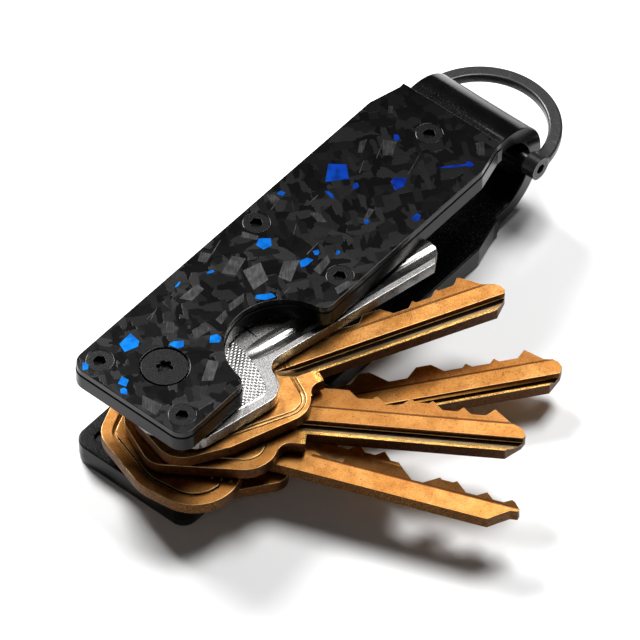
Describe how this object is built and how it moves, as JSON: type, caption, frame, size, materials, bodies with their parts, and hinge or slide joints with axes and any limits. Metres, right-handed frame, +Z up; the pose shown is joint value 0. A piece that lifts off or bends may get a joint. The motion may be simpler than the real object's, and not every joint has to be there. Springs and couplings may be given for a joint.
{
  "type": "key organiser",
  "caption": "Flat key organiser: a U-shaped metal case with carbon covers, keys that swing out from one pivot between friction washers, and a swinging ring at the back.",
  "frame": {"origin": "on the key pivot axis, at the outer face of the bottom cover, which is the face it lies on", "axes": "+X from the pivot towards the ring, +Z up through the top cover, so the finger notch and the fanned keys are at -Y"},
  "size_m": [0.0965, 0.0618, 0.0211],
  "materials": {
    "black_anodised": "satin black anodised, bead-blasted inside",
    "forged_carbon": "forged carbon composite with blue flakes, satin lacquer",
    "black_steel": "black oxide",
    "black_ring_steel": "satin black coating",
    "bronze": "ground",
    "nickel_silver": "bright nickel, knurled bow",
    "aged_brass": "aged, speckled"
  },
  "bodies": {
    "case": {"chassis": "black_anodised", "top_cover": "forged_carbon", "bottom_cover": "forged_carbon", "top_cover_screws": "black_steel", "bottom_cover_screws": "black_steel", "pivot_barrel": "black_steel", "pivot_screw": "black_steel", "pivot_washer_1": "bronze", "pivot_washer_2": "bronze", "pivot_washer_3": "bronze", "pivot_washer_4": "bronze", "pivot_washer_5": "bronze", "pivot_washer_6": "bronze"},
    "silver_key": {"silver_key": "nickel_silver"},
    "brass_key_1": {"brass_key_1": "aged_brass"},
    "brass_key_2": {"brass_key_2": "aged_brass"},
    "brass_key_3": {"brass_key_3": "aged_brass"},
    "brass_key_4": {"brass_key_4": "aged_brass"},
    "ring": {"key_ring": "black_ring_steel", "ring_pin": "black_steel"}
  },
  "joints": [
    {"name": "silver_key_pivot", "type": "hinge", "parent": "case", "child": "silver_key", "pos_m": [0, 0, 0.0105], "axis": [0, 0, 1], "range_deg": [-168.2, 11.8]},
    {"name": "brass_key_1_pivot", "type": "hinge", "parent": "case", "child": "brass_key_1", "pos_m": [0, 0, 0.0105], "axis": [0, 0, 1], "range_deg": [-154.6, 25.4]},
    {"name": "brass_key_2_pivot", "type": "hinge", "parent": "case", "child": "brass_key_2", "pos_m": [0, 0, 0.0105], "axis": [0, 0, 1], "range_deg": [-124.1, 55.9]},
    {"name": "brass_key_3_pivot", "type": "hinge", "parent": "case", "child": "brass_key_3", "pos_m": [0, 0, 0.0105], "axis": [0, 0, 1], "range_deg": [-111.8, 68.2]},
    {"name": "brass_key_4_pivot", "type": "hinge", "parent": "case", "child": "brass_key_4", "pos_m": [0, 0, 0.0105], "axis": [0, 0, 1], "range_deg": [-143.4, 36.6]},
    {"name": "ring_swing", "type": "hinge", "parent": "case", "child": "ring", "pos_m": [0.0718, 0, 0.01192], "axis": [0, 1, 0], "range_deg": [-66, 30]}
  ]
}
